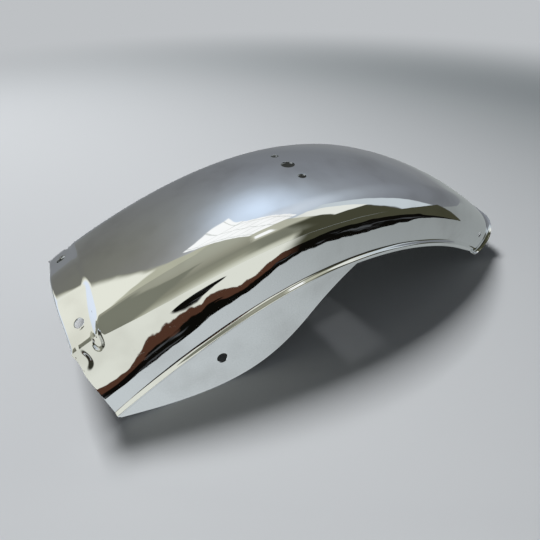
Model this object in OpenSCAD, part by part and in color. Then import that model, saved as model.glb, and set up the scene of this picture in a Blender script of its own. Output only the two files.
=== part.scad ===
// Rear mudguard of a motorcycle: one sheet of steel, pressed to shape and chromed.
// Origin: centre of the cable hole on top of the crown.
// +X runs to the tail, +Y to the right side, +Z up. Sizes are in millimetres.

/* [Sheet] */
// Thickness of the pressed sheet
sheet_t = 1.2; // [0.8:0.1:2]

/* [Arch] */
// Radius of the crown line at the cable hole
main_r = 325; // [290:5:360]
// Radius to which the crown line flattens at the front edge
front_r = 880; // [500:10:1500]
// Radius to which the crown line flattens at the tail edge
tail_r = 403; // [340:1:800]
// Distance along the crown from the cable hole to the front edge
front_len = 216; // [200:1:235]
// Distance along the crown from the cable hole to the tail edge
tail_len = 266; // [240:1:300]

/* [Cross section] */
// Width between the beads over the front and the middle
body_w = 151; // [130:1:170]
// Width between the beads at the tail
tail_w = 130; // [110:1:150]
// Radius of the crown across the guard
crown_r = 240; // [180:5:400]
// Radius of the shoulder between crown and side
shoulder_r = 27; // [20:1:34]
// Height from the crown to the bead at the front
side_front = 70; // [62:1:80]
// Height from the crown to the bead at the cable hole
side_mid = 62; // [54:1:72]
// Height from the crown to the bead at the tail
side_tail = 41; // [38:1:52]
// Outward lean of the sides at the front, in degrees
lean_front = 11; // [0:1:16]
// Outward lean of the sides at the tail, in degrees
lean_tail = 5; // [0:1:12]

/* [Bead and lugs] */
// Width of the half-round bead along the side
bead_w = 6; // [4:0.5:9]
// Height of the bead over the side
bead_h = 2.2; // [1:0.1:3]
// Flat lip left below the bead behind the lug
lip_w = 1; // [0.6:0.1:3]
// Depth of the lug below the bead at its deepest
lug_depth = 45; // [35:1:60]
// Distance ahead of the cable hole at which the lug is deepest
lug_deep_at = 107; // [90:1:125]
// Distance behind the cable hole at which the lug runs out
lug_end_at = 30; // [10:1:60]
// Share of the lug's rear edge that is straight
lug_straight = 0.45; // [0.1:0.05:0.8]

/* [Front tongue] */
// Length of the tongue ahead of the step
tongue_len = 25; // [22:1:32]
// Half width of the tongue's top face
tongue_half = 60; // [52:1:62]
// Forward sweep of the step beside the shoulder
step_sweep = 3.5; // [0:0.5:5]
// Depth of the step down to the tongue
step_h = 3.2; // [1.5:0.1:5]
// Length over which the step falls
step_run = 8; // [4:0.5:10]
// Height below the crown at which the tongue's flank has rounded into the wall
tongue_drop = 28; // [24:1:34]
// Turn-down of the tongue's front edge
edge_drop = 1.4; // [0:0.1:2.5]
// Depth of the pocket pressed into each front corner
pocket_h = 4; // [0:0.5:6]
// Length of the pocket from the front edge
pocket_len = 12; // [8:1:16]
// Height of the pocket
pocket_w = 18; // [12:1:22]
// Height below the crown of the pocket's middle
pocket_at = 18; // [14:1:24]

/* [Tail] */
// Flare of the lip around the tail edge
lip_flare = 3; // [0:0.5:5]
// Length of the flared lip
lip_len = 6; // [4:1:10]
// Radius of the two lower corners of the tail
corner_r = 11; // [8:1:20]

/* [Holes] */
// Diameter of the cable hole in the crown
cable_d = 12; // [8:0.5:16]
// Diameter of the two screw holes beside the cable hole
screw_d = 7; // [4:0.5:9]
// Distance between those screw holes
screw_pitch = 45.4; // [36:0.2:56]
// Diameter of the two holes in the tongue
tongue_hole_d = 8; // [5:0.5:10]
// Distance between the holes in the tongue
tongue_pitch = 84.8; // [70:0.2:92]
// Distance of those holes from the front edge
tongue_hole_in = 11; // [9:0.5:14]
// Diameter of the bolt hole in each lug
lug_hole_d = 9; // [6:0.5:12]
// Distance of the lug hole ahead of the cable hole
lug_hole_at = 137; // [115:1:155]
// Depth of the lug hole below the bead
lug_hole_low = 20.3; // [14:0.1:28]
// Diameter of the hole on each side of the tail
tail_hole_d = 6; // [4:0.5:8]
// Distance of that hole from the tail edge
tail_hole_in = 23; // [16:1:40]
// Height below the crown of that hole
tail_hole_low = 26; // [20:1:30]

/* [Hidden] */
bore_fn = 64;
rad = 180 / PI;

// Number of steps over each stretch of half the cross section
crown_n = 6;
shoulder_n = 8;
wall_n = 4;
bead_n = 4;
lug_n = 3;
half_n = crown_n + shoulder_n + wall_n + bead_n + lug_n;
// Number of chords over which the crown line is summed
chords = 16;

// Rows are slanted by these amounts per height at the front edge and at the step
edge_lean = 0.26;
step_lean = 0.45;
lean_fade = 60;
// Height below the crown at which the step's sweep has ended
sweep_end = 24;
// Length over which the front edge turns down, and rise of the tongue's rounded flank
edge_run = 2.6;
flank_rise = 1.5;
// Lengths over which the tail's lower corners and the bead run out
pull_len = 45;
bead_fade = 30;
corner_full = 0.97;
bore_reach = 5;

// Distances along the crown at which the shell has a cross section
step_at = front_len - tongue_len;
tongue_n = 10;
tongue_rows = [for (k = [0 : tongue_n - 1]) tongue_len * pow(k / tongue_n, 1.35) - front_len];
body_step = 12.6;
step_rows = [for (k = [0 : 5]) -step_at + step_run * k / 5];
body_start = -step_at + step_run;
body_end = tail_len - lip_len;
body_n = round((body_end - body_start) / body_step);
body_rows = [for (k = [1 : body_n]) body_start + (body_end - body_start) * k / body_n];
lip_rows = [for (k = [1 : 3]) body_end + lip_len * k / 3];
rows = concat(tongue_rows, step_rows, body_rows, lip_rows);

function clamp(x) = min(1, max(0, x));
function smooth(x) = let (t = clamp(x)) t * t * (3 - 2 * t);
function mix(a, b, t) = a + (b - a) * t;
function unit(v) = v / norm(v);

// Tilt of the crown line after s, where its radius opens evenly from main_r to end_r over full
function tilt(s, full, end_r) =
    rad * (s / main_r + (1 / end_r - 1 / main_r) * s * s / (2 * full));
function sum(list) = list * [for (x = list) 1];

// Crown line at u: distance out, height and tilt, summed over short chords
function arc_to(s, full, end_r) =
    let (mids = [for (k = [0 : chords - 1]) tilt(s * (k + 0.5) / chords, full, end_r)])
    [
        s / chords * sum([for (a = mids) cos(a)]),
        -s / chords * sum([for (a = mids) sin(a)]),
        tilt(s, full, end_r)
    ];
function crown(u) =
    let (p = u < 0 ? arc_to(-u, front_len, front_r) : arc_to(u, tail_len, tail_r))
    u < 0 ? [-p[0], p[1], -p[2]] : p;

// Point at height d below the crown and y to the side, in the cross section at u
function place(u, y, d) =
    let (c = crown(u))
    [c[0] - d * sin(c[2]), y, c[1] - d * cos(c[2])];

// Height from crown to bead: a smooth curve through its three stated values
function side_at(u) =
    side_front * u * (u - tail_len) / (front_len * (front_len + tail_len))
    + side_mid * (u + front_len) * (tail_len - u) / (front_len * tail_len)
    + side_tail * u * (u + front_len) / (tail_len * (tail_len + front_len));
function half_at(u) = body_w / 2 - (body_w - tail_w) / 2 * pow(clamp(u / tail_len), 2);
function lean_at(u) = mix(lean_front, lean_tail, clamp((u + front_len) / (front_len + tail_len)));

// Depth of the lug: rises over a straight share, then rounds off to its deepest
function rise(t, share) =
    let (x = clamp(t), m = 2 / (1 + share), s = max(0, (x - share) / (1 - share)))
    x < share ? m * x : m * share + m * (1 - share) * (s - s * s / 2);
function lug_at(u) =
    let (lug_start = front_len + edge_lean * side_front)
    lug_depth * (u < -lug_deep_at
        ? rise((u + lug_start) / (lug_start - lug_deep_at), 0)
        : rise((lug_end_at - u) / (lug_end_at + lug_deep_at), lug_straight));

// Half of the body's cross section at u, from crown to bead, as [y, d, normal angle]
function shoulder_mid(hw, dp, lean) =
    let (
        foot = [hw - shoulder_r * cos(lean), dp + shoulder_r * sin(lean) - crown_r],
        up = [-sin(lean), -cos(lean)],
        b = foot * up,
        t = -b + sqrt(b * b - foot * foot + pow(crown_r - shoulder_r, 2))
    )
    foot + t * up + [0, crown_r];
function body_half(u) =
    let (
        hw = half_at(u),
        dp = side_at(u),
        lean = lean_at(u),
        mid = shoulder_mid(hw, dp, lean),
        a0 = atan2(mid[0], crown_r - mid[1]),
        a1 = 90 - lean,
        top = mid + shoulder_r * [cos(lean), -sin(lean)],
        bead_top = [hw, dp] - bead_w / 2 * [sin(lean), cos(lean)]
    )
    concat(
        [for (k = [0 : crown_n - 1]) let (a = a0 * k / crown_n)
            [crown_r * sin(a), crown_r * (1 - cos(a)), a]],
        [for (k = [0 : shoulder_n - 1]) let (a = mix(a0, a1, k / shoulder_n))
            [mid[0] + shoulder_r * sin(a), mid[1] - shoulder_r * cos(a), a]],
        [for (k = [0 : wall_n - 1]) let (p = mix(top, bead_top, k / wall_n))
            [p[0], p[1], a1]]
    );

// The same stretch on the tongue: crown arc stepped down, a crease, a rounded flank, the wall
function curve(a, b, c, t) = mix(mix(a, b, t), mix(b, c, t), t);
function tongue_section(u) =
    let (
        body = body_half(u),
        last = crown_n + shoulder_n,
        foot = [body[len(body) - 1][0], body[len(body) - 1][1]],
        down = [sin(lean_at(u)), cos(lean_at(u))],
        a_edge = asin(tongue_half / crown_r),
        edge = [tongue_half, crown_r * (1 - cos(a_edge)) + step_h],
        meet = foot - down * (foot[1] - tongue_drop) / down[1],
        knee = foot - down * (foot[1] - (edge[1] + meet[1]) / 2 + flank_rise) / down[1]
    )
    [for (j = [0 : len(body) - 1])
        j <= crown_n ? let (a = a_edge * j / crown_n)
            [crown_r * sin(a), crown_r * (1 - cos(a)) + step_h, a]
        : j <= last ? let (t = (j - crown_n) / shoulder_n, p = curve(edge, knee, meet, t))
            [p[0], p[1], mix(45, 90 - lean_at(u), t)]
        : let (p = mix(meet, foot, (j - last) / (wall_n - 1)))
            [p[0], p[1], 90 - lean_at(u)]];

// Half round bead and the flat lug below it
function lower_half(u) =
    let (
        lean = lean_at(u),
        down = [sin(lean), cos(lean)],
        out = [cos(lean), -sin(lean)],
        foot = [half_at(u), side_at(u)],
        rise_h = bead_h * (1 - smooth((u - tail_len + bead_fade) / bead_fade)),
        drop = lip_w + lug_at(u + row_shift(u, side_at(u)))
    )
    concat(
        [for (k = [0 : bead_n]) let (
                a = 180 * k / bead_n,
                p = foot - bead_w / 2 * cos(a) * down + rise_h * sin(a) * out)
            [p[0], p[1], 90 - lean]],
        [for (k = [1 : lug_n]) let (p = foot + (bead_w / 2 + drop * k / lug_n) * down)
            [p[0], p[1], 90 - lean]]
    );

// Slant of the rows near the front edge, and pull of the lower corners at the tail
function slant(u) = u < -step_at
    ? mix(edge_lean, step_lean, clamp((u + front_len) / tongue_len))
    : step_lean * (1 - smooth((u + step_at) / lean_fade));
function corner_pull(d, dp) =
    let (x = clamp((d - dp - bead_w / 2 - lip_w + corner_r) / corner_r))
    corner_r * (1 - sqrt(1 - x * x * corner_full));
function sweep(u, d) =
    step_sweep * sin(180 * clamp(d / sweep_end)) * smooth(1 - abs(u + step_at) / tongue_len);
function row_shift(u, d) =
    let (dp = side_at(u))
    -slant(u) * min(d, dp) - sweep(u, d)
    - corner_pull(d, dp) * smooth((u - tail_len + pull_len) / pull_len);

// Pressed details, as a distance out of the plain surface
function pressed(u, d, on_tongue_top) =
    let (
        s = u + front_len,
        fall = on_tongue_top && s < edge_run ? -edge_drop * pow(1 - s / edge_run, 2) : 0,
        across = cos(90 * clamp(abs(d - pocket_at) / (pocket_w / 2))),
        along = cos(90 * clamp(s / pocket_len)),
        flare = lip_flare * pow(clamp((u - tail_len + lip_len) / lip_len), 2)
    )
    fall - (s < pocket_len ? pocket_h * pow(across, 2) * pow(along, 2) : 0) + flare;

// Outer surface: row i, then point j from the left lug over the crown to the right lug
function half_row(u) =
    let (
        w = 1 - smooth((u + step_at) / step_run),
        body = body_half(u),
        tongue = tongue_section(u),
        upper = [for (j = [0 : len(body) - 1]) mix(body[j], tongue[j], w)],
        whole = concat(upper, lower_half(u))
    )
    [for (j = [0 : half_n]) let (
            q = whole[j],
            out = pressed(u, q[1], j < crown_n),
            y = q[0] + out * sin(q[2]),
            d = q[1] - out * cos(q[2]))
        place(u + row_shift(u, q[1]), y, d)];
function full_row(u) =
    let (half = half_row(u))
    concat(
        [for (j = [half_n : -1 : 1]) [half[j][0], -half[j][1], half[j][2]]],
        half
    );
outer = [for (u = rows) full_row(u)];
row_n = len(rows);
col_n = 2 * half_n + 1;

// Inner surface: each point moved in by the sheet thickness along the surface normal
function normal_at(i, j) =
    let (
        along = outer[min(i + 1, row_n - 1)][j] - outer[max(i - 1, 0)][j],
        across = outer[i][min(j + 1, col_n - 1)] - outer[i][max(j - 1, 0)]
    )
    unit(cross(along, across));
inner = [for (i = [0 : row_n - 1])
    [for (j = [0 : col_n - 1]) outer[i][j] - sheet_t * normal_at(i, j)]];

function at(i, j) = i * col_n + j;
function patch(a, b, c, d) = [[a, b, c], [a, c, d]];
function flatten(lists) = [for (l = lists) for (x = l) x];

module shell() {
    side = row_n * col_n;
    polyhedron(
        points = concat(flatten(outer), flatten(inner)),
        faces = flatten(concat(
            [for (i = [0 : row_n - 2]) for (j = [0 : col_n - 2])
                patch(at(i, j), at(i, j + 1), at(i + 1, j + 1), at(i + 1, j))],
            [for (i = [0 : row_n - 2]) for (j = [0 : col_n - 2])
                patch(side + at(i, j), side + at(i + 1, j), side + at(i + 1, j + 1), side + at(i, j + 1))],
            [for (j = [0 : col_n - 2])
                patch(at(0, j), side + at(0, j), side + at(0, j + 1), at(0, j + 1))],
            [for (j = [0 : col_n - 2]) let (i = row_n - 1)
                patch(at(i, j), at(i, j + 1), side + at(i, j + 1), side + at(i, j))],
            [for (i = [0 : row_n - 2])
                patch(at(i, 0), at(i + 1, 0), side + at(i + 1, 0), side + at(i, 0))],
            [for (i = [0 : row_n - 2]) let (j = col_n - 1)
                patch(at(i, j), side + at(i, j), side + at(i + 1, j), at(i + 1, j))]
        )),
        convexity = 10
    );
}

// A bore through the sheet at u, y, d, square to a surface whose normal leans by angle
module bore(u, y, d, angle, dia, side = 1) {
    translate(place(u, y * side, d))
        rotate([-angle * side, crown(u)[2], 0])
            cylinder(h = 2 * bore_reach, d = dia, center = true, $fn = bore_fn);
}

module holes() {
    bore(0, 0, 0, 0, cable_d);
    for (side = [-1, 1]) {
        bore(0, screw_pitch / 2, 0, 0, screw_d, side);
        tongue_hole(side);
        lug_hole(side);
        tail_hole(side);
    }
}

module tongue_hole(side) {
    angle = asin(tongue_pitch / 2 / crown_r);
    bore(
        tongue_hole_in - front_len, tongue_pitch / 2,
        crown_r * (1 - cos(angle)) + step_h, angle, tongue_hole_d, side
    );
}

module lug_hole(side) {
    u = -lug_hole_at;
    lean = lean_at(u);
    bore(
        u + row_shift(u, side_at(u)), half_at(u) + lug_hole_low * sin(lean),
        side_at(u) + lug_hole_low * cos(lean), 90 - lean, lug_hole_d, side
    );
}

module tail_hole(side) {
    u = tail_len - tail_hole_in;
    lean = lean_at(u);
    mid = shoulder_mid(half_at(u), side_at(u), lean);
    angle = acos(clamp((mid[1] - tail_hole_low) / shoulder_r));
    bore(
        u, mid[0] + shoulder_r * sin(angle), tail_hole_low, angle, tail_hole_d, side
    );
}

module mudguard() {
    color([0.80, 0.81, 0.83])
        difference() {
            shell();
            holes();
        }
}

mudguard();
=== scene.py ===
from math import asin, atan2, cos, pi, radians, sin, sqrt

import bpy
from mathutils import Matrix, Vector
from mathutils.bvhtree import BVHTree


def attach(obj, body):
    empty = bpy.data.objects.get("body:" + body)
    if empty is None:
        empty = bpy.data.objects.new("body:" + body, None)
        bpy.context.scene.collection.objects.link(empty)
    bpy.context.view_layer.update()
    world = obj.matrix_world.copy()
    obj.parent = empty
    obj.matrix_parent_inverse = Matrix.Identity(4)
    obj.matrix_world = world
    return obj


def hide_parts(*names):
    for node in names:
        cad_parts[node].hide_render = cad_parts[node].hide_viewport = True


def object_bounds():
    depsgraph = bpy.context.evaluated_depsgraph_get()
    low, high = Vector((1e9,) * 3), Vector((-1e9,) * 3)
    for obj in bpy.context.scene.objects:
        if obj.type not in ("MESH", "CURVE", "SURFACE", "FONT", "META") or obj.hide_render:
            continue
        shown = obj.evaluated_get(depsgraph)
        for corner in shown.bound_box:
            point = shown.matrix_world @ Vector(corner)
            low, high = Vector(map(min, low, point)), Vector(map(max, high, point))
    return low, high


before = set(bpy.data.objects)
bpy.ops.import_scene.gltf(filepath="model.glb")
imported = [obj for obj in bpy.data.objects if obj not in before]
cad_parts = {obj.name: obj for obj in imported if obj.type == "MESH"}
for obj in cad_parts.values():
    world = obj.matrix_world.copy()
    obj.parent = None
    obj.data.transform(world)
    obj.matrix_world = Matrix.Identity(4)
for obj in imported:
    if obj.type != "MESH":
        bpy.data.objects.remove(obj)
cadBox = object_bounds()
mm = 0.001


# ---- small helpers
def clearSelection():
    if bpy.context.object and bpy.context.object.mode != "OBJECT":
        bpy.ops.object.mode_set(mode="OBJECT")
    bpy.ops.object.select_all(action="DESELECT")


def makeActive(obj):
    clearSelection()
    obj.select_set(True)
    bpy.context.view_layer.objects.active = obj
    return obj


def applyModifier(obj, kind, **settings):
    makeActive(obj)
    bpy.ops.object.modifier_add(type=kind)
    modifier = obj.modifiers[-1]
    for key, value in settings.items():
        setattr(modifier, key, value)
    bpy.ops.object.modifier_apply(modifier=modifier.name)


def selectFaces(obj, wanted):
    # selects, in edit mode's face mode, the faces for which wanted is true
    makeActive(obj)
    mesh = obj.data
    for part in (mesh.vertices, mesh.edges, mesh.polygons):
        part.foreach_set("select", [False] * len(part))
    for face in mesh.polygons:
        face.select = wanted(face)
    bpy.ops.object.mode_set(mode="EDIT")
    bpy.ops.mesh.select_mode(type="FACE")
    bpy.ops.object.mode_set(mode="OBJECT")


def clamp(x):
    return min(1.0, max(0.0, x))


def smooth(x):
    t = clamp(x)
    return t * t * (3 - 2 * t)


def mix(a, b, t):
    return a + (b - a) * t


def mixAll(a, b, t):
    return tuple(mix(x, y, t) for x, y in zip(a, b))


# ---- shader maths as Python expressions
class Wire:
    def __init__(self, tree, socket):
        self.tree, self.socket = tree, socket

    def node(self, kind, settings=None, out=0, **inputs):
        made = self.tree.nodes.new(kind)
        for key, value in (settings or {}).items():
            if key == "stops":
                ramp = made.color_ramp
                while len(ramp.elements) < len(value):
                    ramp.elements.new(0.5)
                for element, (position, colour) in zip(ramp.elements, value):
                    element.position, element.color = position, colour
            else:
                setattr(made, key, value)
        for key, value in inputs.items():
            name = key.replace("_", " ")
            slot = made.inputs[int(key[1:])] if key[0] == "i" and key[1:].isdigit() else made.inputs[name]
            if isinstance(value, Wire):
                self.tree.links.new(value.socket, slot)
            else:
                slot.default_value = value
        return Wire(self.tree, made.outputs[out])

    def math(self, operation, a, b=0.0, c=0.0):
        return self.node("ShaderNodeMath", {"operation": operation}, i0=a, i1=b, i2=c)

    def __add__(self, other):
        return self.math("ADD", self, other)

    def __radd__(self, other):
        return self.math("ADD", other, self)

    def __sub__(self, other):
        return self.math("SUBTRACT", self, other)

    def __rsub__(self, other):
        return self.math("SUBTRACT", other, self)

    def __mul__(self, other):
        return self.math("MULTIPLY", self, other)

    def __rmul__(self, other):
        return self.math("MULTIPLY", other, self)

    def __truediv__(self, other):
        return self.math("DIVIDE", self, other)

    def ramp(self, low, high):
        # 0 below low, 1 above high, smooth between
        return self.node("ShaderNodeMapRange", {"interpolation_type": "SMOOTHSTEP"},
                         Value=self, From_Min=low, From_Max=high)

    def blend(self, a, b):
        # colour a where this is 0, colour b where it is 1
        return self.node("ShaderNodeMix", {"data_type": "RGBA"}, 2, i0=self, i6=a, i7=b)


def newMaterial(name):
    material = bpy.data.materials.new(name)
    material.use_nodes = True
    tree = material.node_tree
    shader = tree.nodes["Principled BSDF"]
    coordinates = Wire(tree, tree.nodes.new("ShaderNodeTexCoord").outputs["Object"])
    return material, tree, shader, coordinates


def srgb(r, g, b, gain=1.0):
    def linear(c):
        return c / 255 / 12.92 if c <= 10 else ((c / 255 + 0.055) / 1.055) ** 2.4
    return tuple(gain * linear(c) for c in (r, g, b)) + (1.0,)


plating = {
    "colour": srgb(222, 224, 226), "hazed": srgb(205, 206, 207), "roughness": 0.02, "haze": 0.05,
    "scratched": 0.12, "scratchTurn": (0.4, 0.2, 0.7), "scratchScale": (60, 1400, 900),
    "cloudScale": 18.0, "waveScale": 38.0, "waveStrength": 0.35, "waveHeight": 0.0005,
}
chrome, tree, shader, place3d = newMaterial("chromePlate")
cloudy = place3d.node("ShaderNodeTexNoise", None, 0, Vector=place3d, Scale=plating["cloudScale"], Detail=3.0)
wavy = place3d.node("ShaderNodeTexNoise", None, 0, Vector=place3d, Scale=plating["waveScale"], Detail=1.5)
colour = cloudy.ramp(0.45, 0.75).blend(plating["colour"], plating["hazed"])
tree.links.new(colour.socket, shader.inputs["Base Color"])
drawn = place3d.node("ShaderNodeMapping", None, 0, Vector=place3d, Rotation=plating["scratchTurn"],
                     Scale=plating["scratchScale"])
drawn = place3d.node("ShaderNodeTexNoise", None, 0, Vector=drawn, Scale=1.0, Detail=2.0)
scratches = drawn.ramp(0.66, 0.74) * cloudy.ramp(0.42, 0.6) * plating["scratched"]
tree.links.new((cloudy.ramp(0.5, 0.8) * plating["haze"] + scratches + plating["roughness"]).socket,
               shader.inputs["Roughness"])
shader.inputs["Metallic"].default_value = 1.0
bump = place3d.node("ShaderNodeBump", None, 0, Strength=plating["waveStrength"],
                    Distance=plating["waveHeight"], Height=wavy)
tree.links.new(bump.socket, shader.inputs["Normal"])

# the inner side: its own unpolished finish with random stains, darkened overall as painted shade inside the
# guard
inside = {"colour": srgb(104, 105, 104), "stained": srgb(78, 77, 73), "roughness": 0.34, "rougher": 0.25,
          "stainScale": 26.0}
dullShaded, tree, shader, place3d = newMaterial("shadedUnpolishedPlate")
cloudy = place3d.node("ShaderNodeTexNoise", None, 0, Vector=place3d, Scale=inside["stainScale"], Detail=5.0)
colour = cloudy.ramp(0.4, 0.7).blend(inside["colour"], inside["stained"])
tree.links.new(colour.socket, shader.inputs["Base Color"])
tree.links.new((cloudy * inside["rougher"] + inside["roughness"]).socket, shader.inputs["Roughness"])
shader.inputs["Metallic"].default_value = 1.0


# ---- the pressed sheet: sizes in millimetres and degrees
guard = {
    "thickness": 1.2, "edgeRound": 0.3, "sharp": 60, "smoothTo": 50, "onCrown": (-0.03, 0.01, 0),
    "archRadius": 325, "archSteps": 16, "frontRadius": 880, "tailRadius": 403,
    "frontLength": 216, "tailLength": 266,
    "width": 151, "tailWidth": 130, "crownRadius": 240, "shoulderRadius": 27,
    "sideFront": 70, "sideMiddle": 62, "sideTail": 41, "leanFront": 11, "leanTail": 5,
}
bead = {"halfWidth": 3.4, "lip": 0.6, "height": 2.2, "fade": 30}
lug = {"depth": 45, "deepestAt": 107, "endsAt": 30, "straightShare": 0.45}
tongue = {
    "length": 25, "halfWidth": 60, "sweep": 3.5, "sweepEnds": 24,
    "step": 3.2, "stepRun": 6, "stepMiddle": 0.2, "stepFrom": 14, "stepTo": 44,
    "flankDrop": 28, "flankRise": 1.5, "edgeDrop": 1.4, "edgeRun": 2.6,
    "edgeSlant": 0.26, "stepSlant": 0.45, "slantFade": 60,
}
# pressed in beside the tongue: depth, place from the front edge and below the crown, reach each way
dents = [
    {"depth": 3.4, "in": 4, "low": 19, "along": 11, "across": 10},
    {"depth": 2.2, "in": 25, "low": 15, "along": 5, "across": 6},
]
dentSteepness = 1.5
tail = {"flare": 3, "flareLength": 6, "cornerRadius": 11, "cornerLength": 45, "cornerFull": 0.97}
stepAt = guard["frontLength"] - tongue["length"]


def archPoint(u):
    # distance out, height and tilt of the crown line, whose radius opens evenly to the end
    end, length = (guard["frontRadius"], guard["frontLength"])
    if u >= 0:
        end, length = (guard["tailRadius"], guard["tailLength"])
    start, n, s, out, height = guard["archRadius"], guard["archSteps"], abs(u), 0.0, 0.0

    def tilt(x):
        return x / start + (1 / end - 1 / start) * x * x / (2 * length)
    for k in range(n):
        a = tilt(s * (k + 0.5) / n)
        out += s / n * cos(a)
        height -= s / n * sin(a)
    return (out, height, tilt(s)) if u >= 0 else (-out, height, -tilt(s))


def place(u, y, d):
    out, height, a = archPoint(u)
    return (out - d * sin(a), y, height - d * cos(a))


def sideAt(u):
    f, t = guard["frontLength"], guard["tailLength"]
    return (guard["sideFront"] * u * (u - t) / (f * (f + t))
            + guard["sideMiddle"] * (u + f) * (t - u) / (f * t)
            + guard["sideTail"] * u * (u + f) / (t * (t + f)))


def halfAt(u):
    narrower = (guard["width"] - guard["tailWidth"]) / 2
    return guard["width"] / 2 - narrower * clamp(u / guard["tailLength"]) ** 2


def leanAt(u):
    share = clamp((u + guard["frontLength"]) / (guard["frontLength"] + guard["tailLength"]))
    return radians(mix(guard["leanFront"], guard["leanTail"], share))


def rise(t, share):
    x, m = clamp(t), 2 / (1 + share)
    s = max(0, (x - share) / (1 - share))
    return m * x if x < share else m * share + m * (1 - share) * (s - s * s / 2)


def lugAt(u):
    start, deep = guard["frontLength"] + tongue["edgeSlant"] * guard["sideFront"], lug["deepestAt"]
    if u < -deep:
        return lug["depth"] * rise((u + start) / (start - deep), 0)
    return lug["depth"] * rise((lug["endsAt"] - u) / (lug["endsAt"] + deep), lug["straightShare"])


def wallLine(u):
    # foot of the wall at the bead's middle, its direction down and its direction out
    lean = leanAt(u)
    return (halfAt(u), sideAt(u)), (sin(lean), cos(lean)), (cos(lean), -sin(lean)), pi / 2 - lean


def shoulderMiddle(u):
    (fy, fd), down, out, _ = wallLine(u)
    r, big = guard["shoulderRadius"], guard["crownRadius"]
    fy, fd = fy - r * out[0], fd - r * out[1] - big
    b = -(fy * down[0] + fd * down[1])
    t = -b + sqrt(b * b - fy * fy - fd * fd + (big - r) ** 2)
    return fy - t * down[0], fd - t * down[1] + big


def bodyPoint(u, part, t):
    r, big = guard["shoulderRadius"], guard["crownRadius"]
    my, md = shoulderMiddle(u)
    foot, down, out, wallAngle = wallLine(u)
    a0 = atan2(my, big - md)
    if part == "crown":
        a = a0 * t
        return big * sin(a), big * (1 - cos(a)), a
    if part == "shoulder":
        a = mix(a0, wallAngle, t)
        return my + r * sin(a), md - r * cos(a), a
    top = (my + r * out[0], md + r * out[1])
    end = (foot[0] - bead["halfWidth"] * down[0], foot[1] - bead["halfWidth"] * down[1])
    return mixAll(top, end, t) + (wallAngle,)


def stepDown(y):
    # the tongue lies level with the crown at its middle and drops below it at its edges
    share = smooth((y - tongue["stepFrom"]) / (tongue["stepTo"] - tongue["stepFrom"]))
    return tongue["step"] * mix(tongue["stepMiddle"], 1, share)


def tonguePoint(u, part, t):
    foot, down, out, wallAngle = wallLine(u)
    big = guard["crownRadius"]
    aEdge = asin(tongue["halfWidth"] / big)
    edge = (tongue["halfWidth"], big * (1 - cos(aEdge)) + tongue["step"])

    def onWall(d):
        s = (d - foot[1]) / down[1]
        return foot[0] + down[0] * s, foot[1] + down[1] * s
    meet = onWall(tongue["flankDrop"])
    knee = onWall((edge[1] + meet[1]) / 2 - tongue["flankRise"])
    if part == "crown":
        a = aEdge * t
        return big * sin(a), big * (1 - cos(a)) + stepDown(big * sin(a)), a
    if part == "shoulder":
        p = mixAll(mixAll(edge, knee, t), mixAll(knee, meet, t), t)
        return p + (mix(pi / 4, wallAngle, t),)
    end = (foot[0] - bead["halfWidth"] * down[0], foot[1] - bead["halfWidth"] * down[1])
    return mixAll(meet, end, t) + (wallAngle,)


def slant(u):
    s = u + guard["frontLength"]
    if s < tongue["length"]:
        return mix(tongue["edgeSlant"], tongue["stepSlant"], clamp(s / tongue["length"]))
    return tongue["stepSlant"] * (1 - smooth((s - tongue["length"]) / tongue["slantFade"]))


def rowShift(u, d):
    side, r = sideAt(u), tail["cornerRadius"]
    x = clamp((d - side - bead["halfWidth"] - bead["lip"] + r) / r)
    corner = r * (1 - sqrt(1 - x * x * tail["cornerFull"]))
    sweep = tongue["sweep"] * sin(pi * clamp(d / tongue["sweepEnds"]))
    sweep *= smooth(1 - abs(u + stepAt) / tongue["length"])
    near = smooth((u - guard["tailLength"] + tail["cornerLength"]) / tail["cornerLength"])
    return -slant(u) * min(d, side) - sweep - corner * near


def pressedOut(u, d, part):
    s, out = u + guard["frontLength"], 0.0
    if part == "crown" and s < tongue["edgeRun"]:
        out -= tongue["edgeDrop"] * (1 - s / tongue["edgeRun"]) ** 2
    for dent in dents:
        r = sqrt(((s - dent["in"]) / dent["along"]) ** 2 + ((d - dent["low"]) / dent["across"]) ** 2)
        out -= dent["depth"] * smooth(dentSteepness * (1 - r))
    flared = clamp((u - guard["tailLength"] + tail["flareLength"]) / tail["flareLength"])
    return out + tail["flare"] * flared ** 2


def formed(u, part, t, side=1):
    # where a point of the flat blank ends up: u along the crown, part and t across it
    if part in ("crown", "shoulder", "wall"):
        onTongue = 1 - smooth((u + stepAt) / tongue["stepRun"])
        y, d, a = mixAll(bodyPoint(u, part, t), tonguePoint(u, part, t), onTongue)
    else:
        foot, down, out, a = wallLine(u)
        half = bead["halfWidth"]
        below = bead["lip"] + lugAt(u + rowShift(u, foot[1]))
        s = mix(-half, half, t) if part == "bead" else half + below * t
        ridge = bead["height"] * (1 - smooth((u - guard["tailLength"] + bead["fade"]) / bead["fade"]))
        ridge *= 0.5 + 0.5 * cos(pi * s / half) if part == "bead" else 0
        y, d = foot[0] + s * down[0] + ridge * out[0], foot[1] + s * down[1] + ridge * out[1]
    press = pressedOut(u, d, part)
    x, y, z = place(u + rowShift(u, d), y + press * sin(a), d - press * cos(a))
    return Vector((x * mm, side * y * mm, z * mm))


blank = {
    "rows": [(0, 26, 30), (26, 36, 12), (36, 476, 184), (476, 482, 8)],  # from, to and steps along the crown
    "parts": [("crown", 18), ("shoulder", 20), ("wall", 14), ("bead", 12), ("lug", 14)],
}


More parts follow.
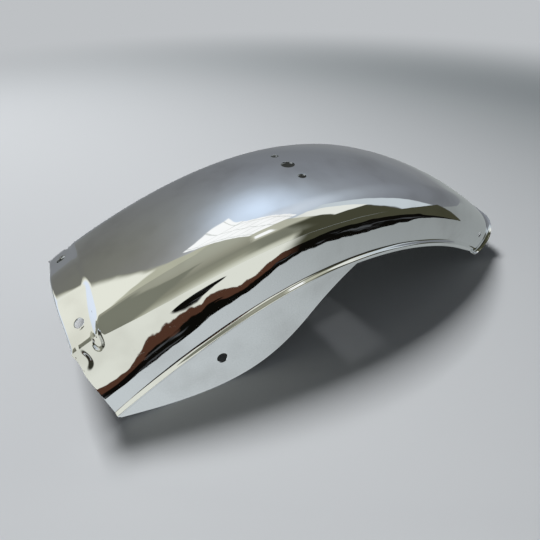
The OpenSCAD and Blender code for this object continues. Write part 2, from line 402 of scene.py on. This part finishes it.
def makeSheet():
    rows = [mix(a, b, k / n) - guard["frontLength"] for a, b, n in blank["rows"] for k in range(n)]
    rows.append(guard["tailLength"])
    half = [(part, k / n) for part, n in blank["parts"] for k in range(n)] + [("lug", 1.0)]
    columns = [(part, t, -1) for part, t in reversed(half[1:])] + [(part, t, 1) for part, t in half]
    clearSelection()
    bpy.ops.mesh.primitive_grid_add(x_subdivisions=len(rows) - 1, y_subdivisions=len(columns) - 1, size=2)
    sheet = bpy.context.object
    sheet.name = "chromedSheet"
    spots = {}  # the vertex at each row and column
    for vertex in sheet.data.vertices:
        i = round((vertex.co.x + 1) / 2 * (len(rows) - 1))
        j = round((vertex.co.y + 1) / 2 * (len(columns) - 1))
        vertex.co = formed(rows[i], *columns[j])
        spots[i, j] = vertex.index
    return sheet, spots


# ---- the holes
holes = {
    "cable": {"radius": 6, "margin": 2.2}, "screw": {"radius": 3.5, "margin": 2.0, "pitch": 45.4},
    "tongue": {"radius": 4, "margin": 1.6, "pitch": 84.8, "in": 11},
    "lug": {"radius": 4.5, "margin": 2.4, "at": 137, "low": 20.3},
    "tail": {"radius": 3, "margin": 1.8, "in": 23, "low": 26},
    "sides": 64, "collar": 0.8, "search": 9, "overSheet": 10, "slack": 0.1,
}


def acrossAt(u, y, d, angle, side):
    # a point of the section at u, and the direction square to the sheet there
    a = archPoint(u)[2]
    normal = Vector((cos(angle) * sin(a), side * sin(angle), cos(angle) * cos(a)))
    x, y, z = place(u, side * y, d)
    return Vector((x, y, z)) * mm, normal


def holePlaces():
    places = [("cable",) + acrossAt(0, 0, 0, 0, 1)]
    for side in (-1, 1):
        places.append(("screw",) + acrossAt(0, holes["screw"]["pitch"] / 2, 0, 0, side))
        y, big = holes["tongue"]["pitch"] / 2, guard["crownRadius"]
        a = asin(y / big)
        places.append(("tongue",) + acrossAt(
            holes["tongue"]["in"] - guard["frontLength"], y, big * (1 - cos(a)) + tongue["step"], a, side))
        u = -holes["lug"]["at"]
        foot, down, out, a = wallLine(u)
        low = holes["lug"]["low"]
        places.append(("lug",) + acrossAt(
            u + rowShift(u, foot[1]), foot[0] + low * down[0], foot[1] + low * down[1], a, side))
        u = guard["tailLength"] - holes["tail"]["in"]
        my, md = shoulderMiddle(u)
        a = pi / 2 - asin(clamp((md - holes["tail"]["low"]) / guard["shoulderRadius"]))
        places.append(("tail",) + acrossAt(
            u, my + guard["shoulderRadius"] * sin(a), holes["tail"]["low"], a, side))
    return places


def patchAround(mesh, spots, kind, centre, normal):
    # the rows and columns of cells that a hole takes out of the grid
    reach = (holes[kind]["radius"] + holes[kind]["margin"]) * mm
    i0, j0 = min(spots, key=lambda spot: (mesh.vertices[spots[spot]].co - centre).length)
    forward = (mesh.vertices[spots[i0 + 1, j0]].co - mesh.vertices[spots[i0 - 1, j0]].co).normalized()
    sideways = normal.cross(forward)

    def touched(lines, direction):
        away = {k: (mesh.vertices[spots[spot]].co - centre).dot(direction) for k, spot in lines.items()}
        return [k for k in away if k + 1 in away and abs(away[k] + away[k + 1]) / 2 < reach]
    search = holes["search"]
    rows = touched({i: (i, j0) for i in range(i0 - search, i0 + search + 1) if (i, j0) in spots}, forward)
    columns = touched({j: (i0, j) for j in range(j0 - search, j0 + search + 1) if (i0, j) in spots}, sideways)
    return {frozenset(spots[i + di, j + dj] for di in (0, 1) for dj in (0, 1)) for i in rows for j in columns}


def rimCircle(sheet, skin, centre, normal, radius):
    # a ring of vertices laid on the sheet's surface; returns the first of them
    first = len(sheet.data.vertices)
    bpy.ops.object.mode_set(mode="EDIT")
    bpy.ops.mesh.select_all(action="DESELECT")
    bpy.ops.mesh.primitive_circle_add(vertices=holes["sides"], radius=radius, location=centre,
                                      rotation=normal.to_track_quat("Z", "Y").to_euler())
    bpy.ops.object.mode_set(mode="OBJECT")
    for vertex in sheet.data.vertices[first:]:
        over = holes["overSheet"] * mm
        hit = skin.ray_cast(vertex.co + normal * over, -normal, 2 * over)
        vertex.co = hit[0] if hit[0] else vertex.co
    return first


def bridge(sheet, wanted):
    # joins the two loops of edges for which wanted is true
    for edge in sheet.data.edges:
        edge.select = wanted(edge)
    picked = {v for e in sheet.data.edges if e.select for v in e.vertices}
    for vertex in sheet.data.vertices:
        vertex.select = vertex.index in picked
    for face in sheet.data.polygons:
        face.select = False
    bpy.ops.object.mode_set(mode="EDIT")
    bpy.ops.mesh.bridge_edge_loops()
    bpy.ops.object.mode_set(mode="OBJECT")


def punch(sheet, skin, rim, kind, centre, normal):
    # a round hole with a narrow collar, sewn to the rim of its patch
    radius = holes[kind]["radius"] * mm
    outer = rimCircle(sheet, skin, centre, normal, radius + holes["collar"] * mm)
    inner = rimCircle(sheet, skin, centre, normal, radius)
    bridge(sheet, lambda edge: min(edge.vertices) >= outer)
    bridge(sheet, lambda edge: set(edge.vertices) <= rim
           or outer <= min(edge.vertices) and max(edge.vertices) < inner)


print("sheet: pressing the blank")
sheet, spots = makeSheet()
skin = BVHTree.FromObject(sheet, bpy.context.evaluated_depsgraph_get())
places = holePlaces()
patches = [patchAround(sheet.data, spots, *place) for place in places]
reaches = [holes["slack"] * mm
           + max((sheet.data.vertices[v].co - centre).length for cell in patch for v in cell)
           for (_, centre, _), patch in zip(places, patches)]
faceOf = {frozenset(face.vertices): face.index for face in sheet.data.polygons}
taken = {faceOf[cell] for patch in patches for cell in patch}
selectFaces(sheet, lambda face: face.index in taken)
bpy.ops.object.mode_set(mode="EDIT")
bpy.ops.mesh.delete(type="FACE")
bpy.ops.mesh.select_mode(type="EDGE")
bpy.ops.mesh.select_all(action="DESELECT")
bpy.ops.mesh.select_non_manifold(extend=False)
bpy.ops.object.mode_set(mode="OBJECT")
border = {v for edge in sheet.data.edges if edge.select for v in edge.vertices}
for (kind, centre, normal), reach in zip(places, reaches):
    rim = {v for v in border if (sheet.data.vertices[v].co - centre).length < reach}
    print("sheet: hole for", kind, "- rim of", len(rim))
    punch(sheet, skin, rim, kind, centre, normal)
makeActive(sheet)
bpy.ops.object.mode_set(mode="EDIT")
bpy.ops.mesh.select_all(action="SELECT")
bpy.ops.mesh.normals_make_consistent(inside=False)
bpy.ops.object.mode_set(mode="OBJECT")
crownFace = min(sheet.data.polygons, key=lambda face: (face.center - Vector(guard["onCrown"])).length)
if crownFace.normal.z < 0:
    sheet.data.flip_normals()
print("sheet: thickness and rounded edges")
for material in (chrome, dullShaded):  # outer side, inner side
    sheet.data.materials.append(material)
applyModifier(sheet, "SOLIDIFY", thickness=guard["thickness"] * mm, offset=-1, use_even_offset=False,
              use_quality_normals=True, material_offset=1, material_offset_rim=0)
applyModifier(sheet, "BEVEL", width=guard["edgeRound"] * mm, segments=2, limit_method="ANGLE",
              angle_limit=radians(guard["sharp"]), use_clamp_overlap=True)
makeActive(sheet)
bpy.ops.object.shade_smooth_by_angle(angle=radians(guard["smoothTo"]))
print("sheet:", len(sheet.data.polygons), "faces")
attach(sheet, "root")
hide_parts("mudguard")
print("sheet: plated")


# ---- floor, room and light
studio = {
    # floor colour near the centre fades to a painted falloff grey: a painted pool of light, greyer far from
    # its centre
    "floorSize": 14, "floorColour": srgb(215, 218, 221), "paintedFalloffColour": srgb(112, 119, 122), "roughness": 0.9,
    "paintedPoolCentre": (-0.9, 0, 0), "paintedPoolTo": 0.8, "paintedFalloffFrom": 2.1, "fadeFrom": 0.8, "fadeTo": 1.6,
    # the floor's tones in the chrome: a painted reflection, glowing for mirror rays alone, lighter at the
    # near left and darker to the right and far side
    "nearLeft": srgb(220, 226, 227), "nearRight": srgb(160, 165, 164), "farSide": srgb(138, 141, 144),
    "speckleScale": 700.0, "speckle": 0.25,
}
# what the chrome mirrors, by bearing (0 is +Y, 90 is +X) and height in degrees; only mirror rays see it
room = {
    "fill": srgb(72, 74, 77), "backdrop": srgb(190, 193, 196), "gain": 1.3,
    "ripple": 0.045, "rippleScale": 6.0,
    "wall": [(-10, (126, 129, 132)), (8, (115, 118, 122)), (20, (119, 122, 127)), (30, (130, 134, 140)),
             (40, (143, 148, 154)), (50, (162, 169, 177)), (60, (190, 199, 209)), (75, (214, 222, 232))],
    "warm": [(-10, (140, 142, 142)), (2, (114, 115, 111)), (12, (110, 110, 105)), (25, (114, 114, 106)),
             (35, (120, 120, 112)), (47, (127, 127, 122)), (56, (150, 151, 150)), (75, (190, 192, 194))],
    "glow": (216, 231, 249), "glowAt": (0.20, 0.51, 0.84), "glowFocus": 44,
    "back": [(-25, (222, 223, 211)), (4, (208, 209, 193)), (16, (168, 168, 150)), (26, (138, 138, 121)),
             (40, (128, 128, 113)), (52, (146, 145, 129)), (66, (158, 158, 142)), (85, (166, 167, 151))],
    "leftWall": (231, 231, 217), "leftTop": (180, 180, 160), "shade": (66, 66, 51), "olive": (120, 121, 107),
    "window": (194, 202, 206), "pane": (228, 229, 221), "sky": (222, 231, 243), "beam": (184, 184, 166),
    "panel": (253, 253, 251), "bar": (216, 218, 214),
}
clearSelection()
bpy.ops.mesh.primitive_plane_add(size=studio["floorSize"], location=(0, 0, cadBox[0][2]))
floor = bpy.context.object
floor.name = "floor"
paper, tree, shader, place3d = newMaterial("floorPaper")
# floor colour: a painted pool of light, palest round one spot and painted greyer farther away
away = place3d.node("ShaderNodeVectorMath", {"operation": "DISTANCE"}, "Value",
                    i0=place3d, i1=studio["paintedPoolCentre"])
tree.links.new(away.ramp(studio["paintedPoolTo"], studio["paintedFalloffFrom"]).blend(
    studio["floorColour"], studio["paintedFalloffColour"]).socket, shader.inputs["Base Color"])
shader.inputs["Roughness"].default_value = studio["roughness"]
speckle = place3d.node("ShaderNodeTexNoise", None, 0, Vector=place3d, Scale=studio["speckleScale"],
                       Detail=1.0)
floorX = place3d.node("ShaderNodeSeparateXYZ", None, "X", Vector=place3d)
floorY = Wire(tree, floorX.socket.node.outputs["Y"])
paintedReflectionTone = (floorX + (speckle - 0.5) * studio["speckle"]).ramp(-0.25, 0.3)
paintedReflectionTone = paintedReflectionTone.blend(studio["nearLeft"], studio["nearRight"])
paintedReflectionTone = floorY.ramp(0.05, 0.4).blend(paintedReflectionTone, studio["farSide"])
# for mirror rays the floor glows with this painted reflection instead of showing its lit colour
mirrored = place3d.node("ShaderNodeEmission", None, 0, Strength=1.0, Color=paintedReflectionTone)
glossy = Wire(tree, tree.nodes.new("ShaderNodeLightPath").outputs["Is Glossy Ray"])
distant = place3d.node("ShaderNodeVectorMath", {"operation": "LENGTH"}, "Value", i0=place3d)
backdrop = place3d.node("ShaderNodeEmission", None, 0, Strength=1.0, Color=room["backdrop"])
surface = place3d.node("ShaderNodeMixShader", None, 0, i0=distant.ramp(studio["fadeFrom"], studio["fadeTo"]),
                       i1=Wire(tree, shader.outputs["BSDF"]), i2=backdrop)
surface = place3d.node("ShaderNodeMixShader", None, 0, i0=glossy, i1=surface, i2=mirrored)
tree.links.new(surface.socket, tree.nodes["Material Output"].inputs["Surface"])
floor.data.materials.append(paper)

world = bpy.data.worlds.new("room")
bpy.context.scene.world = world
world.use_nodes = True
tree = world.node_tree
background = tree.nodes["Background"]
toward = Wire(tree, tree.nodes.new("ShaderNodeTexCoord").outputs["Generated"])
steady = toward
ripple = toward.node("ShaderNodeTexNoise", None, "Color", Vector=toward, Scale=room["rippleScale"],
                     Detail=1.0)
ripple = ripple.node("ShaderNodeVectorMath", {"operation": "SUBTRACT"}, 0, i0=ripple, i1=(0.5, 0.5, 0.5))
ripple = ripple.node("ShaderNodeVectorMath", {"operation": "SCALE"}, 0, i0=ripple, Scale=room["ripple"])
toward = ripple.node("ShaderNodeVectorMath", {"operation": "ADD"}, 0, i0=toward, i1=ripple)
east = toward.node("ShaderNodeSeparateXYZ", None, "X", Vector=toward)
north = Wire(tree, east.socket.node.outputs["Y"])
up = Wire(tree, east.socket.node.outputs["Z"])
height = toward.math("ARCSINE", up) * (180 / pi)
bearing = toward.math("ARCTAN2", east, north) * (180 / pi)
behind = toward.math("ARCTAN2", 0 - east, 0 - north) * (180 / pi)  # 0 is -Y, 90 is -X


def within(value, low, high, soft):
    return value.ramp(low - soft, low + soft) * (1 - value.ramp(high - soft, high + soft))


steadyHeight = Wire(tree, steady.node("ShaderNodeSeparateXYZ", None, "Z", Vector=steady).socket)
steadyHeight = toward.math("ARCSINE", steadyHeight) * (180 / pi)


def byHeight(name):
    low, high = -30, 90
    stops = [((h - low) / (high - low), srgb(*c, room["gain"])) for h, c in room[name]]
    return height.node("ShaderNodeValToRGB", {"stops": stops}, Fac=(steadyHeight - low) / (high - low))


def tint(name):
    return srgb(*room[name], room["gain"])


seen = bearing.ramp(-32, 26).blend(byHeight("warm"), byHeight("wall"))
glowAt = Vector(room["glowAt"]).normalized()
close = toward.node("ShaderNodeVectorMath", {"operation": "DOT_PRODUCT"}, "Value", i0=steady, i1=glowAt)
seen = close.math("POWER", close.math("MAXIMUM", close, 0.0), room["glowFocus"]).blend(seen, tint("glow"))
seen = (1 - within(bearing, -35, 143, 1.0)).blend(seen, byHeight("back"))
zones = [  # painted one over another: bearing from, to and softness, height from, to and softness, colour
    (behind, (22, 95, 3), (18, 58, 2), "olive"), (bearing, (-75, -34, 2), (50, 78, 2), "leftTop"),
    (bearing, (-74, -36, 1.5), (-20, 52, 1.2), "leftWall"), (bearing, (142, 172, 2), (44, 68, 2.5), "beam"),
    (bearing, (128, 158, 1.5), (-40, 41, 3), "shade"), (bearing, (156, 171, 5), (15, 40, 5), "olive"),
    (bearing, (112, 130, 1), (-40, -3, 1), "shade"), (bearing, (113, 128, 0.8), (-3, 58, 1.5), "window"),
    (bearing, (127, 143, 0.8), (27, 59, 1.0), "pane"), (bearing, (161, 170, 1), (48, 57, 1), "panel"),
    (bearing, (-120, -38, 2), (-8, 23, 3), "sky"),
]
for turned, aside, raised, name in zones:
    seen = (within(turned, *aside) * within(height, *raised)).blend(seen, tint(name))

# a long white panel overhead, placed as on a ceiling plan, with thin bars across it
overheadPanel = {
    "at": (0.06, 0.12), "turn": (0.954, 0.3), "halfWidth": 0.17, "halfLength": 0.55, "above": 0.3,
    "acrossBars": 7.3, "alongBars": 5.1, "bar": (0.9, 0.94),
}
planX, planY = east / up - overheadPanel["at"][0], north / up - overheadPanel["at"][1]
cosTurn, sinTurn = overheadPanel["turn"]
across = planX * cosTurn + planY * sinTurn
along = planX * sinTurn - planY * cosTurn
overhead = (within(across, -overheadPanel["halfWidth"], overheadPanel["halfWidth"], 0.006)
            * within(along, -overheadPanel["halfLength"], overheadPanel["halfLength"], 0.01)
            * up.ramp(overheadPanel["above"], overheadPanel["above"] + 0.01))


def bars(value, count):
    spread = value * count
    return spread.math("FRACT", spread).ramp(*overheadPanel["bar"])


barred = bars(across, overheadPanel["acrossBars"]) + bars(along, overheadPanel["alongBars"])
seen = overhead.blend(seen, barred.ramp(0.0, 1.0).blend(tint("panel"), tint("bar")))
rays = tree.nodes.new("ShaderNodeLightPath")
direct = Wire(tree, rays.outputs["Is Camera Ray"]).blend(room["fill"], room["backdrop"])
mirrored = Wire(tree, rays.outputs["Is Glossy Ray"]).blend(direct, seen)
tree.links.new(mirrored.socket, background.inputs["Color"])
background.inputs["Strength"].default_value = 1.0

# a low bent card on the camera's side, seen by the chrome alone: the dark line along its wall
card = {
    "foot": [(-420, 70), (-300, -40), (-204, -116), (-154, -160), (-91, -208), (-29, -243), (30, -280),
             (86, -304), (139, -301), (209, -262), (252, -229), (300, -178), (326, -140)],
    "top": -0.03, "brown": srgb(88, 58, 44), "black": srgb(14, 13, 10), "grey": srgb(84, 86, 88),
    "above": srgb(221, 222, 210, room["gain"]), "corner": srgb(58, 58, 48),
    "low": 0.010, "rises": 0.016, "falls": 0.011, "endsAt": 0.022,  # the dark band's height along the card
    "rippleScale": 28.0, "grainScale": (14, 14, 260),
    "lensAt": (-0.1, 0.047), "lensSize": (0.036, 0.02), "lensSlope": 0.25,
}
clearSelection()
floorZ = cadBox[0][2]
bpy.ops.mesh.primitive_grid_add(x_subdivisions=len(card["foot"]) - 1, y_subdivisions=1, size=2)
flag = bpy.context.object
flag.name = "nearCard"
for vertex in flag.data.vertices:
    x, y = card["foot"][round((vertex.co.x + 1) / 2 * (len(card["foot"]) - 1))]
    vertex.co = (x * mm, y * mm, floorZ if vertex.co.y < 0 else card["top"])
cardPaint = bpy.data.materials.new("cardPaint")
cardPaint.use_nodes = True
tree = cardPaint.node_tree
tree.nodes.remove(tree.nodes["Principled BSDF"])
where = Wire(tree, tree.nodes.new("ShaderNodeTexCoord").outputs["Object"])
cardX = where.node("ShaderNodeSeparateXYZ", None, "X", Vector=where)
cardZ = Wire(tree, cardX.socket.node.outputs["Z"])
right = cardX.ramp(0.03, 0.09)
ripple = where.node("ShaderNodeTexNoise", None, 0, Vector=where, Scale=card["rippleScale"], Detail=3.0) + 0.5
limit = (card["low"] + cardX.ramp(-0.19, -0.155) * card["rises"] - cardX.ramp(-0.12, -0.01) * card["falls"]
         + cardX.ramp(0.1, 0.16) * card["endsAt"]) * ripple
lift = (cardZ - floorZ) / (limit * (1.02 - cardX.ramp(0.26, 0.325)))
grain = where.node("ShaderNodeMapping", None, 0, Vector=where, Scale=card["grainScale"])
grain = where.node("ShaderNodeTexNoise", None, 0, Vector=grain, Scale=1.0, Detail=2.0)
black = grain.ramp(0.56, 0.66).blend(card["black"], card["grey"])
edge = (lift + (grain - 0.5) * 0.5).ramp(0.44, 0.52).blend(black, right.blend(card["brown"], card["black"]))
above = right.blend(card["above"], tint("shade"))
above = cardX.ramp(-0.25, -0.23).blend(card["corner"], above)
(lensX, lensZ), (wide, tall) = card["lensAt"], card["lensSize"]
aside, over = (cardX - lensX) / wide, (cardZ - (floorZ + lensZ) - (cardX - lensX) * card["lensSlope"]) / tall
lens = 1 - (aside * aside + over * over * (ripple + 0.1)).ramp(0.75, 1.0)
above = lens.blend(above, black)
glow = where.node("ShaderNodeEmission", None, 0, Color=lift.ramp(0.96, 1.04).blend(edge, above), Strength=1.0)
tree.links.new(glow.socket, tree.nodes["Material Output"].inputs["Surface"])
flag.data.materials.append(cardPaint)
flag.visible_camera = flag.visible_diffuse = flag.visible_shadow = flag.visible_transmission = False

lamps = {"key": {"at": (-0.35, 2.3, 3.5), "size": 1.1, "power": 170}}
for name, lamp in lamps.items():
    clearSelection()
    bpy.ops.object.light_add(type="AREA", location=lamp["at"])
    light = bpy.context.object
    light.name = name
    light.data.size = lamp["size"]
    light.data.energy = lamp["power"]
    light.visible_glossy = False
    light.rotation_euler = (-Vector(lamp["at"])).to_track_quat("-Z", "Y").to_euler()

# ---- camera, at the photograph's viewing angle
view = {
    "at": (-0.17825, -0.28781, 0.15137), "lens": 28, "sensor": 36,
    "right": (0.8717, -0.4900, -0.0058), "down": (-0.3071, -0.5370, -0.7857),
    "ahead": (0.3819, 0.6867, -0.6186),
}
clearSelection()
bpy.ops.object.camera_add(location=view["at"])
camera = bpy.context.object
camera.data.lens = view["lens"]
camera.data.sensor_width = view["sensor"]
camera.data.clip_start = 0.01
right, down, ahead = (Vector(view[k]).normalized() for k in ("right", "down", "ahead"))
turn = Matrix((right, -down, -ahead)).transposed()
camera.rotation_euler = turn.to_euler()
bpy.context.scene.camera = camera
bpy.context.scene.view_settings.view_transform = "Standard"

print("scene: done")
